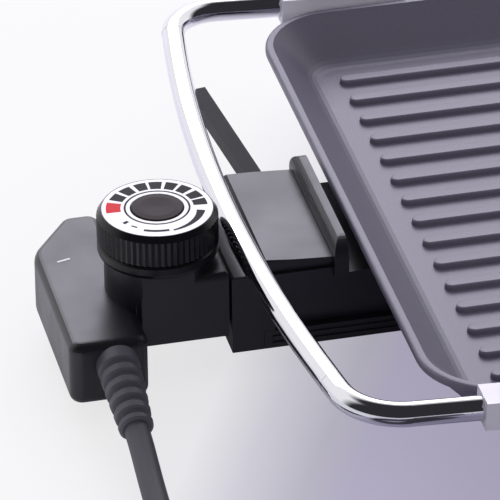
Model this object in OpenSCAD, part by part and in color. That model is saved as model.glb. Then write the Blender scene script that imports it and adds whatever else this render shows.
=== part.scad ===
// Electric table grill: ribbed cast pan on a chromed tube frame,
// with a plug-in thermostat, its dial and its supply cord.
// Millimetres. X runs along the ribs, Y across them, Z up from the table.

/* [Pan] */
// Length of the pan along the ribs, outside the rim
pan_len = 400; // [380:5:440]
// Depth of the pan across the ribs, outside the rim
pan_depth = 272; // [270:1:290]
// Radius of the rim's corners in plan
pan_corner_r = 28; // [27:0.5:32]
// Height of the cooking floor above the table
floor_z = 35; // [34.5:0.5:38]
// Depth of the pan, from the rim down to the cooking floor
pan_h = 15; // [14:0.5:17]
// Thickness of the cast floor
floor_t = 4; // [3:0.5:4.5]
// Thickness of the cast side wall
wall_t = 3; // [2.5:0.25:3.5]
// How far the inner wall leans out between floor and rim
wall_run = 13.5; // [12:0.5:15]
// Width of the rim's flat top
rim_w = 3.5; // [3:0.25:4]
// Thickness of the rim's outer edge
rim_t = 2.6; // [2:0.2:3]
// Fillet between the cooking floor and the wall
floor_fillet = 4; // [2:0.5:5]

/* [Ribs] */
// Number of ribs
rib_count = 15; // [11:1:15]
// Distance from rib to rib
rib_pitch = 15; // [13:0.5:15]
// Width of a rib
rib_w = 5.6; // [4:0.2:7]
// Height of a rib
rib_h = 2; // [1.5:0.1:3]
// From the rim's outer edge to the end of a rib
rib_inset = 26.7; // [25:0.5:40]

/* [Heating element] */
// Diameter of the sheathed element
element_d = 7; // [6:0.5:7.5]
// Radius of the element's bends
element_bend_r = 22; // [18:1:26]
// Inset of the element's loop from the rim
element_inset = 52; // [48:1:60]
// Diameter of the terminal pins
pin_d = 5; // [4:0.25:5.5]
// Distance between the two terminal pins
pin_gap = 28; // [26:1:30]

/* [Handle tubes] */
// Diameter of the chromed tube
tube_d = 8.6; // [8:0.2:9.4]
// How far the bowed end bar stands out from the rim, to its axis
bar_reach = 41.5; // [41:0.25:44]
// Height of the end bar's axis at its outermost point
bar_z = 52.3; // [52:0.1:53]
// Radius of the end bar's outward bow
bar_bow_r = 790; // [700:10:900]
// Radius of the bends into the arms
arm_bend_r = 20; // [17:1:24]
// Distance from the rim to the axis of an arm
arm_gap = 7.7; // [7.4:0.1:9]
// Slope of the handle, down towards the pan, in degrees
handle_tilt = 3.2; // [2.6:0.1:3.6]

/* [Frame brackets] */
// From the rim to the outer end of a bracket's sleeve
sleeve_x = 13; // [11:1:16]
// Length of a bracket's sleeve
sleeve_len = 47; // [44:1:52]
// Height of a bracket's sleeve
sleeve_h = 10.4; // [10:0.2:12]
// Wall of the sleeve beside the tube
sleeve_wall = 2; // [1.5:0.25:2.5]
// Width of a bracket's leg
leg_w = 28; // [24:1:32]
// Thickness of the leg and its shelf
leg_t = 3.5; // [3:0.25:4]
// Diameter of a rubber foot
foot_d = 13; // [11:0.5:14]
// Height of a rubber foot
foot_h = 5; // [4:0.5:6]
// Diameter of the bracket screws
screw_d = 4; // [3.5:0.25:4.5]

/* [Socket housing] */
// Width of the housing across the ribs
house_w = 62; // [60:1:66]
// How far the housing stands out from the rim
house_reach = 45.8; // [45:0.2:46.5]
// Height of the housing's underside above the table
house_z = 11; // [9:0.5:12]
// Height of the low part of the housing's top, under the end bar
house_low_top = 41.3; // [41:0.1:42]
// Height of the high part of the housing's top
house_top = 46.7; // [46:0.1:47]
// From the rim to the step between the two
house_step_x = 34.4; // [34:0.2:35]
// How far the housing runs on under the pan, past the rim
house_under = 26; // [22:1:30]
// Height of the lower cover
cover_h = 7; // [6:0.5:7.5]
// Height of the groove above the lower cover
cover_groove = 5.4; // [4:0.2:6]
// Depth of that groove
groove_depth = 3; // [2:0.25:3.5]
// Thickness of the upright collar beside the pan
collar_t = 5.1; // [4:0.1:5.2]
// Width of the collar
collar_w = 68; // [66:1:72]
// Height of the collar's top above the table
collar_top = 51.5; // [50:0.5:52]
// Radius of the collar's upper corners
collar_r = 7; // [4:0.5:8]
// Thickness of the collar's upper lip
collar_lip = 2; // [1.6:0.2:2.6]
// Height at which the collar's face starts to round over
collar_bend_z = 45.6; // [44:0.2:47]
// Gap between the housing and the pan's wall
pan_gap = 2; // [1.6:0.2:3]
// Depth of the shadow groove under the housing's top plate
brow_depth = 1.4; // [1:0.1:1.8]
// Height of that groove
brow_h = 2.6; // [2:0.2:3.2]
// Thickness of the top plate above it
brow_t = 3.4; // [3:0.2:4]
// Chamfer along the housing's upper edges
house_edge = 0.6; // [0.4:0.1:0.7]
// How far the steadying arm runs along the end bar
yoke_run = 53; // [50:1:56]
// From the end bar's outermost axis in to the arm's tip
yoke_inset = 9.5; // [9:0.25:10.5]
// Width of the arm
yoke_w = 6; // [5:0.5:6.5]
// Thickness of the arm
yoke_t = 5.5; // [4.5:0.25:6]

/* [Thermostat] */
// Gap between thermostat and socket housing
plug_gap = 1; // [0.6:0.2:2]
// Length of the barrel, from the housing to the head
barrel_len = 34.7; // [34:0.1:36]
// Height of the barrel's top above the table
barrel_top = 43.7; // [43.4:0.1:44.4]
// Height of the barrel
barrel_h = 25.3; // [25:0.1:26]
// Length of the rounded shoulder at the barrel's end
shoulder_len = 18; // [16:0.5:20]
// Radius of the barrel's upper edges
barrel_edge_r = 2.4; // [1.5:0.1:3]
// Width of the groove between barrel and head
joint_w = 1.2; // [0.8:0.1:1.6]
// Depth of that groove
joint_depth = 1.4; // [1:0.1:1.6]
// Width of the head, along the ribs
head_w = 25.3; // [24.5:0.1:27]
// How far the head runs on under the barrel
head_lap = 2.5; // [2:0.1:3]
// How far the head comes forward of the barrel
head_near = 18; // [16:0.5:22]
// How far the head runs past the barrel at the back
head_far = 8.4; // [7:0.1:9]
// Height of the head's top above the table
head_top = 33; // [32.5:0.1:33.5]
// Height of the head
head_h = 24; // [23:0.5:25]
// Radius of the head's far outer corner in plan
head_far_r = 16; // [14:0.5:18]
// How far that corner's curve reaches forward of the head's far end
head_far_run = 26.5; // [25:0.5:28]
// From the head's left side to the end of that corner's slant
head_far_inset = 18; // [17:0.5:20]
// Radius at the end of the slant
head_far_end_r = 5; // [4.5:0.25:6]
// Radius of the head's other corners in plan
head_near_r = 4.6; // [4.4:0.1:6]
// Radius of the head's upper and lower edges
head_edge_r = 3.4; // [2.5:0.1:3.8]
// Wall of the thermostat's shells
shell_t = 2.5; // [2:0.1:2.8]
// Length of the nose that plugs into the housing
nose_len = 26; // [24:0.5:27]
// Width of the nose
nose_w = 46; // [44:0.5:47]
// Height of the nose
nose_h = 16; // [15:0.5:16.5]
// Diameter of the sensing probe
probe_d = 6; // [5:0.25:6.5]
// Length of the probe past the nose
probe_len = 48; // [40:1:52]
// How far the thermostat draws out of the housing
pull_out = 90; // [80:1:100]

/* [Dial] */
// From the barrel's socket end to the dial's axis
dial_x = 21.4; // [20.8:0.1:22.6]
// From the middle of the barrel forward to the dial's axis
dial_y = 14.4; // [13:0.1:14.8]
// Diameter of the knurled grip
dial_d = 42.4; // [41:0.2:43]
// Height of the dial's face above the table
dial_top = 63.8; // [63:0.2:65]
// Height of the knurled grip
grip_h = 11.5; // [10:0.25:12]
// Height of the skirt below it
skirt_h = 5; // [4:0.25:5.2]
// Gap between grip and skirt
dial_groove = 0.6; // [0.4:0.1:0.8]
// Number of flutes round the grip
flute_count = 60; // [40:1:72]
// Depth of a flute
flute_depth = 0.5; // [0.3:0.05:0.7]
// Outer diameter of the dial's scale ring
scale_d = 38.6; // [37:0.2:40]
// Diameter of the cap in the dial's middle
centre_d = 18.8; // [16:0.2:20]
// Diameter of the turret under the dial
turret_d = 38; // [36:0.5:40]
// Diameter of the dial's spindle
spindle_d = 6; // [5:0.25:7]

/* [Cord] */
// Diameter of the supply cord
cord_d = 8.8; // [8.4:0.1:9]
// Diameter of the boot where it meets the head
boot_d = 15.5; // [14:0.25:17]
// Diameter of the boot's free end
boot_tip_d = 12; // [11:0.25:12.5]
// Number of rings round the boot
boot_rings = 5; // [4:1:6]
// Depth of the grooves between them
boot_groove = 1.8; // [1.2:0.1:2]
// Width of the grooves
boot_groove_w = 2.4; // [2:0.1:2.6]
// Diameter of the plug's face
plug_d = 37; // [36:0.5:38]
// Length of the plug's body
plug_len = 38; // [34:1:42]
// Diameter of a plug pin
plug_pin_d = 4.8; // [4:0.1:4.8]
// Length of a plug pin
plug_pin_len = 19; // [17:0.5:19]
// Distance between the plug's pins
plug_pin_gap = 19; // [18:0.5:19]

/* [Fits] */
// Gap between pieces that slide into each other
fit = 0.1; // [0.05:0.05:0.15]
// Gap between pieces that turn past each other
run_gap = 0.3; // [0.3:0.05:0.5]

/* [Hidden] */
$fn = 48;

// Places that follow from the sizes above. X is counted from the left rim of the pan.
head_reach = house_reach + plug_gap + barrel_len + head_w;
rim_x = -(pan_len + bar_reach + tube_d / 2 - head_reach) / 2;
rim_z = floor_z + pan_h;
under_z = floor_z - floor_t;
half_d = pan_depth / 2;
arm_y = half_d + arm_gap;
bracket_y = arm_y + tube_d / 2 + sleeve_wall;
element_z = under_z - element_d / 2;
rim_in_r = pan_corner_r - rim_w;
wall_slope = wall_run / pan_h;
wall_skin = wall_t * sqrt(1 + wall_slope * wall_slope);
house_y = house_w / 2;
barrel_right = -house_reach - plug_gap;
barrel_left = barrel_right - barrel_len;
barrel_z = barrel_top - barrel_h;
head_left = barrel_left - head_w;
head_front = -house_y - head_near;
head_back = house_y + head_far;
head_z = head_top - head_h;
parting_z = (barrel_z + head_top) / 2;
nose_z = element_z;
nose_tip = barrel_right + nose_len;
dial_cx = barrel_right - dial_x;
dial_cy = -dial_y;
grip_z = dial_top - grip_h;
skirt_z = grip_z - dial_groove - skirt_h;
turret_top = skirt_z - run_gap;
boss_d = 9;
shelf_z = under_z - element_d - 2;
leg_x = sleeve_x + sleeve_len - leg_w;
bracket_screw_x = leg_x + leg_w / 2;
bracket_screw_y = half_d - 26;
stack_z = nose_z - 5;

function arc(cx, cy, r, a0, a1, n) =
    [for (i = [0:n]) let (a = a0 + (a1 - a0) * i / n) [cx + r * cos(a), cy + r * sin(a)]];
function along(p, q, t) = p + (q - p) * t;

module from_rim() translate([rim_x, 0, 0]) children();
module four_corners(x, y) for (sx = [0, 1], sy = [0, 1])
    translate([sx * pan_len, 0, 0]) mirror([sx, 0, 0]) mirror([0, sy, 0]) translate([x, y, 0]) children();

// Section through the pan's edge. Its x is counted outwards from a corner's centre.
function pan_section() = concat(
    [[0, under_z], [rim_in_r - wall_run - floor_t * wall_slope + wall_skin - 2, under_z],
     [rim_in_r - wall_run - (floor_t - 2) * wall_slope + wall_skin, under_z + 2],
     [rim_in_r - rim_t * wall_slope + wall_skin, rim_z - rim_t], [pan_corner_r, rim_z - rim_t]],
    arc(pan_corner_r - rim_t / 2, rim_z - rim_t / 2, rim_t / 2, 0, 90, 4),
    [[rim_in_r + 0.6, rim_z], [rim_in_r - 0.5, rim_z - 1.2]],
    [for (i = [0:4]) fillet_point(i / 4)],
    [[0, floor_z]]);
function fillet_point(t) = let (base = [rim_in_r - wall_run, floor_z])
    along(along(base + [floor_fillet * wall_slope * 0.8, floor_fillet * 0.8], base, t),
          along(base, base - [floor_fillet, 0], t), t);

module edge_ring(len, depth, r) {
    for (i = [0:3]) {
        sx = (i == 0 || i == 3) ? 1 : -1;
        sy = i < 2 ? 1 : -1;
        translate([sx * (len / 2 - r), sy * (depth / 2 - r), 0])
            rotate([0, 0, 90 * i]) rotate_extrude(angle = 90) children();
    }
    for (s = [0, 1]) {
        rotate([0, 0, 180 * s]) translate([len / 2 - r, 0, 0]) rotate([90, 0, 0])
            linear_extrude(depth - 2 * r, center = true) children();
        rotate([0, 0, 90 + 180 * s]) translate([depth / 2 - r, 0, 0]) rotate([90, 0, 0])
            linear_extrude(len - 2 * r, center = true) children();
    }
}

// One rib: a low bar with rounded ends and softened upper edges
module rib(len) {
    section = [[0, -1], [rib_w / 2, -1], [rib_w / 2, 0], [rib_w / 2 - 0.2, rib_h - 0.7],
               [rib_w / 2 - 0.5, rib_h - 0.2], [rib_w / 2 - 0.9, rib_h], [0, rib_h]];
    for (s = [0, 1]) mirror([s, 0, 0]) translate([len / 2 - rib_w / 2, 0, 0])
        rotate([0, 0, -90]) rotate_extrude(angle = 180) polygon(section);
    rotate([90, 0, 90]) linear_extrude(len - rib_w, center = true)
        union() { polygon(section); mirror([1, 0]) polygon(section); }
}

module grill_plate() color([0.25, 0.25, 0.27]) from_rim() difference() {
    union() {
        translate([pan_len / 2, 0, 0]) {
            edge_ring(pan_len, pan_depth, pan_corner_r) polygon(pan_section());
            translate([pan_corner_r - pan_len / 2, pan_corner_r - half_d, under_z])
                cube([pan_len - 2 * pan_corner_r, pan_depth - 2 * pan_corner_r, floor_t]);
            for (i = [0:rib_count - 1]) translate([0, (i - (rib_count - 1) / 2) * rib_pitch, floor_z])
                rib(pan_len - 2 * rib_inset);
        }
        four_corners(bracket_screw_x, -bracket_screw_y) translate([0, 0, shelf_z])
            cylinder(d = boss_d, h = under_z - shelf_z + 0.5);
    }
    four_corners(bracket_screw_x, -bracket_screw_y) translate([0, 0, shelf_z - 1])
        cylinder(d = screw_d, h = under_z - shelf_z + 0.5);
}

// A round bar through the points of a level outline, with equal bends
module level_bar(pts, d, r) {
    n = len(pts);
    for (i = [0:n - 2]) {
        v = pts[i + 1] - pts[i];
        cut0 = i == 0 ? 0 : r;
        cut1 = i == n - 2 ? 0 : r;
        translate(pts[i]) rotate([0, 0, atan2(v[1], v[0])]) translate([cut0, 0, 0])
            rotate([0, 90, 0]) cylinder(d = d, h = norm(v) - cut0 - cut1);
    }
    for (i = [1:n - 2]) {
        a = pts[i] - pts[i - 1];
        b = pts[i + 1] - pts[i];
        ua = a / norm(a);
        ub = b / norm(b);
        left = ua[0] * ub[1] - ua[1] * ub[0] > 0;
        centre = pts[i] - ua * r + ub * r;
        start = left ? atan2(-ub[1], -ub[0]) : atan2(-ub[1], -ub[0]) - 90;
        translate(centre) rotate([0, 0, start]) rotate_extrude(angle = 90)
            translate([r, 0]) circle(d = d);
    }
}
element_left = element_inset;
element_right = pan_len - element_inset;
element_y = half_d - element_inset;
element_route = [[-8, pin_gap / 2], [element_left, pin_gap / 2], [element_left, element_y],
    [element_right, element_y], [element_right, -element_y], [element_left, -element_y],
    [element_left, -pin_gap / 2], [-8, -pin_gap / 2]];

module heating_element() color([0.35, 0.33, 0.32]) from_rim()
    translate([0, 0, element_z]) level_bar(element_route, element_d, element_bend_r);

// Straps that hold the element up against the pan
module element_clips() color([0.7, 0.7, 0.7]) from_rim()
    for (x = [0.3, 0.7], s = [-1, 1]) translate([along(element_left, element_right, x), s * element_y, 0])
        difference() {
            translate([-6, -element_d / 2 - 6, under_z - element_d - 1])
                cube([12, element_d + 12, element_d + 1]);
            translate([-7, 0, element_z]) rotate([0, 90, 0]) cylinder(d = element_d + 2 * fit, h = 14);
            translate([-7, -element_d / 2 - fit, element_z])
                cube([14, element_d + 2 * fit, element_d]);
            for (t = [-1, 1]) translate([-7, t * (element_d / 2 + 4.5) - 3, under_z - element_d - 2])
                cube([14, 6, element_d]);
        }

pin_len = 28;
module terminal_pins() color([0.75, 0.75, 0.72]) from_rim()
    for (s = [-1, 1]) translate([-8 - pin_len, s * pin_gap / 2, element_z]) rotate([0, 90, 0]) {
        translate([0, 0, 1]) cylinder(d = pin_d, h = pin_len - 1);
        cylinder(d1 = pin_d - 2, d2 = pin_d, h = 1);
    }

insul_x = -16;
insul_t = 6;
module terminal_insulator() color([0.85, 0.83, 0.78]) from_rim() difference() {
    translate([insul_x, -nose_w / 2, element_z - nose_h / 2]) cube([insul_t, nose_w, nose_h]);
    for (s = [-1, 1]) translate([insul_x - 1, s * pin_gap / 2, element_z]) rotate([0, 90, 0])
        cylinder(d = pin_d + 2 * fit, h = insul_t + 2);
    translate([insul_x - 1, 0, element_z]) rotate([0, 90, 0])
        cylinder(d = probe_d + 2 * run_gap, h = insul_t + 2);
}

collar_x = -9.75;
ledge_z = 38;
// The pan's outer wall at a height z
function pan_wall_x(z) = pan_corner_r - rim_in_r + rim_t * wall_slope - wall_skin + (rim_z - rim_t - z) * wall_slope;
// Outline of the socket housing, seen from the front
function house_outline() = [
    [-house_reach, house_z], [-house_reach, house_low_top - 0.8], [-house_reach + 0.8, house_low_top],
    [-house_step_x, house_low_top], [-house_step_x, house_top - 1], [-house_step_x + 1, house_top],
    [collar_x, house_top - 1.6], [collar_x, ledge_z],
    [pan_wall_x(ledge_z) - pan_gap, ledge_z], [pan_wall_x(shelf_z + 5) - pan_gap, shelf_z + 5],
    [house_under, shelf_z + 5], [house_under, house_z]];
cavity_w = nose_w + 2 * fit + 0.4;
cavity_h = nose_h + 2 * fit + 0.4;

module socket_housing() color([0.06, 0.06, 0.07]) from_rim() difference() {
    translate([0, house_y, 0]) rotate([90, 0, 0]) linear_extrude(house_w) polygon(house_outline());
    translate([-house_reach - 1, -cavity_w / 2, element_z - cavity_h / 2])
        cube([house_reach + 1 + insul_x + insul_t, cavity_w, cavity_h]);
    for (s = [-1, 1]) translate([insul_x, s * pin_gap / 2, element_z]) rotate([0, 90, 0])
        cylinder(d = element_d + 2 * fit, h = house_under - insul_x + 1);
    translate([insul_x, 0, element_z]) rotate([0, 90, 0])
        cylinder(d = probe_d + 2 * run_gap, h = house_under - insul_x + 1);
    translate([-house_step_x, -house_y - 1, house_z - 1])
        cube([house_step_x + house_under + 1, house_w + 2, cover_h + 1]);
    for (s = [-1, 1]) translate([-house_step_x + 4, s * house_y - groove_depth, house_z + cover_h - 1])
        cube([house_step_x + house_under - 3, 2 * groove_depth, cover_groove + 1]);
    for (p = cover_screw_places) translate([p[0], p[1], house_z + cover_h - 1])
        cylinder(d = 3, h = 7);
    house_bevel(-house_reach - 1, -house_step_x - 0.2, house_low_top);
    house_bevel(-house_step_x - 1, collar_x, house_top);
    for (s = [-1, 1]) translate([-house_step_x + brow_depth, s * house_y - brow_depth, house_top - brow_t - brow_h])
        cube([house_step_x + collar_x - brow_depth, 2 * brow_depth, brow_h]);
}
module house_bevel(x0, x1, z) for (s = [-1, 1]) translate([x0, s * house_y, z]) rotate([45, 0, 0])
    translate([0, -house_edge, -house_edge] / sqrt(2)) cube([x1 - x0, house_edge * sqrt(2), house_edge * sqrt(2)]);

screw_row_y = cavity_w / 2 + 2.2;
cover_screw_places = [for (x = [-24, 18], s = [-1, 1]) [x, s * screw_row_y]];
module housing_cover() color([0.08, 0.08, 0.09]) from_rim() difference() {
    union() {
        translate([-house_step_x + fit, -house_y, house_z])
            cube([house_step_x + house_under - fit, house_w, cover_h - fit]);
        for (z = [1.5, 4]) translate([-house_step_x + 3, -house_y - 0.6, house_z + z])
            cube([house_step_x + house_under - 3, house_w + 1.2, 0.9]);
    }
    for (p = cover_screw_places) translate([p[0], p[1], house_z - 1]) {
        cylinder(d = 3 + 2 * fit, h = cover_h + 2);
        cylinder(d = 6.4, h = 3.4);
    }
}

module cover_screws() color([0.7, 0.7, 0.72]) from_rim()
    for (p = cover_screw_places) translate([p[0], p[1], house_z]) {
        cylinder(d = 6, h = 2.4);
        cylinder(d = 2.8, h = cover_h + 4);
    }

// The collar's section, with its face rounded over to a thin lip
function collar_section() = let (run = collar_t - collar_lip, rise = collar_top - collar_bend_z) concat(
    [[collar_t, ledge_z], [0, ledge_z]],
    [for (i = [0:6]) let (a = 90 * i / 6) [run * (1 - cos(a)), collar_bend_z + rise * sin(a)]],
    [[collar_t, collar_top]]);
module socket_collar() color([0.06, 0.06, 0.07]) from_rim() translate([collar_x + fit, 0, 0]) intersection() {
    rotate([90, 0, 90]) translate([0, 0, -1]) linear_extrude(collar_t + 2) polygon(concat(
        arc(collar_w / 2 - collar_r, collar_top - collar_r, collar_r, 0, 90, 8),
        arc(-collar_w / 2 + collar_r, collar_top - collar_r, collar_r, 90, 180, 8),
        [[-collar_w / 2, ledge_z - 1], [collar_w / 2, ledge_z - 1]]));
    translate([0, collar_w / 2 + 1, 0]) rotate([90, 0, 0]) linear_extrude(collar_w + 2) polygon(collar_section());
}

// The handle's own plane, with its origin at the end bar's outermost point
module in_handle() translate([-bar_reach, 0, bar_z]) rotate([0, handle_tilt, 0]) children();
bend_run = 6;
bow_half = asin((arm_y - arm_bend_r) / norm([bar_bow_r - arm_bend_r, bend_run]))
    - atan2(bend_run, bar_bow_r - arm_bend_r);
bend_cx = bar_bow_r - (bar_bow_r - arm_bend_r) * cos(bow_half) + bend_run * sin(bow_half);
arm_end_x = bar_reach + sleeve_x + sleeve_len - 3;
// The straight runs reach a hair into the bends, and are a hair thinner there
bend_lap = 0.5;
bend_slack = 0.1;
module handle_tube(d) in_handle() translate([bar_bow_r, 0, 0]) {
    rotate([0, 0, 180 - bow_half]) rotate_extrude(angle = 2 * bow_half, $fn = 180)
        translate([bar_bow_r, 0]) circle(d = d, $fn = 48);
    for (s = [0, 1]) mirror([0, s, 0]) rotate([0, 0, 180 + bow_half]) translate([bar_bow_r, 0, 0]) {
        translate([0, -bend_lap, 0]) rotate([-90, 0, 0])
            cylinder(d = d - bend_slack, h = bend_run + 2 * bend_lap);
        translate([-arm_bend_r, bend_run, 0]) {
            rotate_extrude(angle = 90 - bow_half) translate([arm_bend_r, 0]) circle(d = d);
            rotate([0, 0, 90 - bow_half]) translate([arm_bend_r, -bend_lap, 0]) rotate([-90, 0, 0])
                cylinder(d = d - bend_slack, h = arm_end_x - bend_cx + bend_lap);
        }
    }
}
module handle_bar_left() color([0.85, 0.86, 0.88]) from_rim() handle_tube(tube_d);
module handle_bar_right() color([0.85, 0.86, 0.88]) from_rim()
    translate([pan_len, 0, 0]) mirror([1, 0, 0]) handle_tube(tube_d);

// A straight bar of square section from p to q
module bar_between(p, q, w, h) {
    v = q - p;
    translate(p) rotate([0, -atan2(v[2], norm([v[0], v[1]])), atan2(v[1], v[0])])
        translate([0, -w / 2, -h / 2]) cube([norm(v), w, h]);
}
yoke_foot = [14, 3, 15];
yoke_root = [-23, house_y, house_top - 4.7];
yoke_tip = [-bar_reach + yoke_inset, house_y + yoke_run, bar_z - 2.4];
module handle_yoke() color([0.07, 0.07, 0.08]) from_rim() difference() {
    union() {
        bar_between(yoke_root, yoke_tip, yoke_w, yoke_t);
        translate(yoke_root - [yoke_foot[0] / 2, 0, yoke_foot[2] - 1]) cube(yoke_foot);
    }
    translate([-house_reach, house_y - 20, 0]) cube([house_reach, 20, rim_z]);
    handle_tube(tube_d + 4 * fit);
}

// A corner bracket: a sleeve round the tube's arm, a leg to the table and a shelf under the pan
module bracket() difference() {
    union() {
        in_handle() translate([bar_reach + sleeve_x, -bracket_y, -sleeve_h / 2])
            cube([sleeve_len, tube_d + 2 * sleeve_wall, sleeve_h]);
        translate([leg_x, 0, 0]) rotate([90, 0, 90]) linear_extrude(leg_w) polygon([
            [-bracket_y, bar_z - 7], [-bracket_y, floor_z], [-bracket_y + 2, foot_h],
            [-bracket_y + foot_d + 3, foot_h], [-bracket_y + foot_d + 1, shelf_z - leg_t],
            [-bracket_screw_y + boss_d, shelf_z - leg_t], [-bracket_screw_y + boss_d, shelf_z],
            [-bracket_y + foot_d - 2, shelf_z], [-bracket_y + leg_t + 1, floor_z],
            [-bracket_y + leg_t + 1, bar_z - 7]]);
    }
    handle_tube(tube_d + 2 * fit);
    translate([bracket_screw_x, -bracket_screw_y, 0]) cylinder(d = screw_d + 2 * fit, h = shelf_z + 1);
}
module bracket_left_near() color([0.68, 0.67, 0.7]) from_rim() bracket();
module bracket_left_far() color([0.68, 0.67, 0.7]) from_rim() mirror([0, 1, 0]) bracket();
module bracket_right_near() color([0.68, 0.67, 0.7]) from_rim()
    translate([pan_len, 0, 0]) mirror([1, 0, 0]) bracket();
module bracket_right_far() color([0.68, 0.67, 0.7]) from_rim()
    translate([pan_len, 0, 0]) mirror([1, 0, 0]) mirror([0, 1, 0]) bracket();

module rubber_feet() color([0.1, 0.1, 0.1]) from_rim()
    four_corners(bracket_screw_x, -bracket_y + 2 + foot_d / 2) {
        cylinder(d1 = foot_d - 2, d2 = foot_d, h = 1);
        translate([0, 0, 1]) cylinder(d = foot_d, h = foot_h - 1);
    }

module bracket_screws() color([0.75, 0.75, 0.77]) from_rim()
    four_corners(bracket_screw_x, -bracket_screw_y) translate([0, 0, shelf_z - leg_t - 2.5]) {
        cylinder(d = 2 * screw_d, h = 2.5);
        cylinder(d = screw_d - 0.2, h = leg_t + 8);
    }

// A slab over corner posts [x, y, radius, quarter], with rounded upper and lower edges.
// Quarters run from the near left round to the far left.
module soft_slab(posts, z0, z1, er) {
    module lip(r) polygon(concat([[max(r - er, 0), z0]], arc(r - er, z0 + er, er, -90, 0, 6),
        arc(r - er, z1 - er, er, 0, 90, 6), [[max(r - er, 0), z1]]));
    hull() for (p = posts) translate([p[0], p[1], 0]) rotate([0, 0, 180 + 90 * p[3]])
        rotate_extrude(angle = 90, $fn = 64) lip(p[2]);
}
head_right = barrel_left + head_lap;
far_a = [head_left + head_far_r, head_back - head_far_run];
far_b = [head_left + head_far_inset, head_back - head_far_end_r];
far_turn = atan2(far_b[1] - far_a[1], far_b[0] - far_a[0])
    + acos((head_far_r - head_far_end_r) / norm(far_b - far_a));
head_posts = [
    [head_left + head_near_r, head_front + head_near_r, head_near_r, 0],
    [head_right - head_near_r, head_front + head_near_r, head_near_r, 1],
    [head_right - head_near_r, head_back - head_near_r, head_near_r, 2],
    [far_b[0], far_b[1], head_far_end_r, 3],
    [far_a[0], far_a[1], head_far_r, 3]];
// The head's room, one wall inside its outline
function head_room() = concat(
    [[head_left + shell_t, head_front + shell_t + 2], [head_right - shell_t, head_front + shell_t + 2],
     [head_right - shell_t, head_back - head_far_end_r], [far_b[0], head_back - head_far_end_r]],
    [far_b + (head_far_end_r - shell_t) * [cos(far_turn), sin(far_turn)]],
    arc(far_a[0], far_a[1], head_far_r - shell_t, far_turn, 180, 3));

// Outline of the barrel seen from the front, with its rounded shoulder
function barrel_outline() = concat(
    [[barrel_right, barrel_z], [barrel_right, barrel_top - 0.8], [barrel_right - 0.8, barrel_top]],
    [for (i = [0:8]) let (a = 90 + 90 * i / 8)
        [barrel_left + shoulder_len + 1.7 + shoulder_len * cos(a),
         head_top + 0.4 + (barrel_top - head_top - 0.4) * sin(a)]],
    [[barrel_left + 1.7, head_top - 4], [barrel_left - 8, head_top - 4], [barrel_left - 8, barrel_z]]);

module thermostat_outside() {
    soft_slab(head_posts, head_z, head_top, head_edge_r);
    difference() {
        intersection() {
            translate([0, house_y, 0]) rotate([90, 0, 0]) linear_extrude(house_w) polygon(barrel_outline());
            translate([barrel_left - 9, 0, 0]) rotate([90, 0, 90]) linear_extrude(barrel_len + 10)
                polygon(concat(
                    arc(house_y - barrel_edge_r, barrel_top - barrel_edge_r, barrel_edge_r, 0, 90, 5),
                    arc(-house_y + barrel_edge_r, barrel_top - barrel_edge_r, barrel_edge_r, 90, 180, 5),
                    [[-house_y, barrel_z - 1], [house_y, barrel_z - 1]]));
        }
        translate([barrel_left + head_lap - 0.5, -house_y - 1, barrel_z - 1])
            cube([joint_w + 0.5, joint_depth + 1, barrel_h + 2]);
    }
    intersection() {
        translate([dial_cx, dial_cy, parting_z]) cylinder(d = turret_d, h = turret_top - parting_z);
        translate([dial_cx - turret_d, -house_y, 0]) cube([2 * turret_d, house_w, dial_top]);
    }
}
room_top = parting_z + 4;
module thermostat_inside() {
    translate([0, 0, head_z + shell_t]) linear_extrude(room_top - head_z - shell_t) polygon(head_room());
    translate([barrel_left - shell_t - 1, -house_y + shell_t, barrel_z + shell_t])
        cube([barrel_len + 1, house_w - 2 * shell_t, room_top - barrel_z - shell_t]);
    translate([barrel_right - 14, -house_y + shell_t, parting_z])
        cube([14 - shell_t, house_w - 2 * shell_t, barrel_top - shell_t - parting_z]);
}
shell_screw_places = [[barrel_right - 11.5, house_y - 5], [head_left + 8, -house_y + 8],
    [head_left + 9, head_back - 17]];
module screw_bosses() for (p = shell_screw_places) translate([p[0], p[1], head_z])
    cylinder(d = 7, h = barrel_top - head_z);

module nose_window() translate([barrel_right - shell_t - 1, -nose_w / 2 - fit, nose_z - nose_h / 2 - fit])
    cube([shell_t + 2, nose_w + 2 * fit, nose_h + 2 * fit]);

module thermostat_upper_shell() color([0.05, 0.05, 0.06]) from_rim() difference() {
    intersection() {
        thermostat_outside();
        translate([head_left - 1, head_front - 1, parting_z])
            cube([barrel_right - head_left + 2, head_back - head_front + 2, dial_top]);
    }
    difference() { thermostat_inside(); screw_bosses(); }
    nose_window();
    translate([dial_cx, dial_cy, parting_z]) cylinder(d = spindle_d + 2 * fit, h = dial_top);
    for (p = shell_screw_places) translate([p[0], p[1], parting_z - 1]) cylinder(d = 2.8, h = 5);
    boot_root(2 * fit);
    index_place(2 * fit);
}

module thermostat_lower_shell() color([0.06, 0.06, 0.07]) from_rim() difference() {
    intersection() {
        thermostat_outside();
        translate([head_left - 1, head_front - 1, 0])
            cube([barrel_right - head_left + 2, head_back - head_front + 2, parting_z]);
    }
    difference() { thermostat_inside(); screw_bosses(); }
    nose_window();
    for (p = shell_screw_places) translate([p[0], p[1], 0]) {
        cylinder(d = 2.8 + 2 * fit, h = dial_top);
        cylinder(d = 5.6, h = (p[0] > barrel_left ? barrel_z : head_z) + 3);
    }
    boot_root(2 * fit);
}

module shell_screws() color([0.7, 0.7, 0.72]) from_rim()
    for (p = shell_screw_places) translate([p[0], p[1], (p[0] > barrel_left ? barrel_z : head_z) + 0.6]) {
        cylinder(d = 5.2, h = 2.4);
        cylinder(d = 2.6, h = parting_z + 3 - (p[0] > barrel_left ? barrel_z : head_z) - 0.6);
    }

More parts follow.
